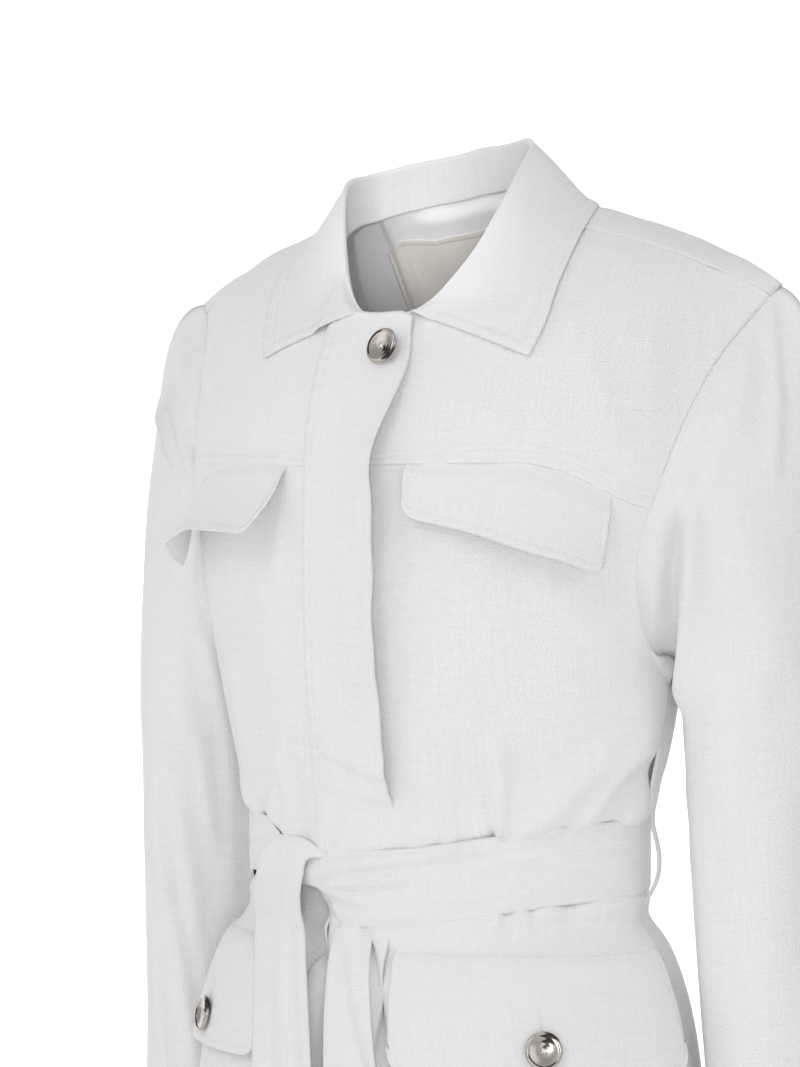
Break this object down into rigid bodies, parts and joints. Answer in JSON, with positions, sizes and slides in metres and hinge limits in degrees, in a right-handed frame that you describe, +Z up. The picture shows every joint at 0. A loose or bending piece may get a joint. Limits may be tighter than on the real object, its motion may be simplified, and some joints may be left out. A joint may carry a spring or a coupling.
{
  "type": "belted linen jacket",
  "caption": "Hip-length jacket in worn form with a turned-down collar, covered front fly, flap pockets and a tie belt, hollow and open at neck, cuffs and hem.",
  "frame": {"origin": "middle of the neck, level with the neck ends of the shoulder seams, where the wearer's shoulders carry the jacket", "axes": "+Z up along the wearer's body, -Y out of the front, +X towards the wearer's left sleeve"},
  "size_m": [0.5456, 0.2926, 0.7482],
  "materials": {
    "linen": "matte",
    "lining": "satin",
    "label": "matte",
    "thread": "matte",
    "button": "polished"
  },
  "bodies": {
    "root": {"front_left": "linen", "front_right": "linen", "yoke_left": "linen", "yoke_right": "linen", "back": "linen", "back_skirt": "linen", "sleeve_left": "linen", "sleeve_right": "linen", "collar_stand": "linen", "collar_leaf": "linen", "fly": "linen", "fly_under": "linen", "chest_flap_left": "linen", "chest_flap_right": "linen", "hip_flap_left": "linen", "hip_flap_right": "linen", "belt": "linen", "belt_end_over": "linen", "belt_end_under": "linen", "neck_lining": "lining", "neck_label": "label", "belt_loop_left": "thread", "belt_loop_right": "thread", "button_top": "button", "button_hip_left": "button", "button_hip_right": "button"}
  },
  "joints": []
}
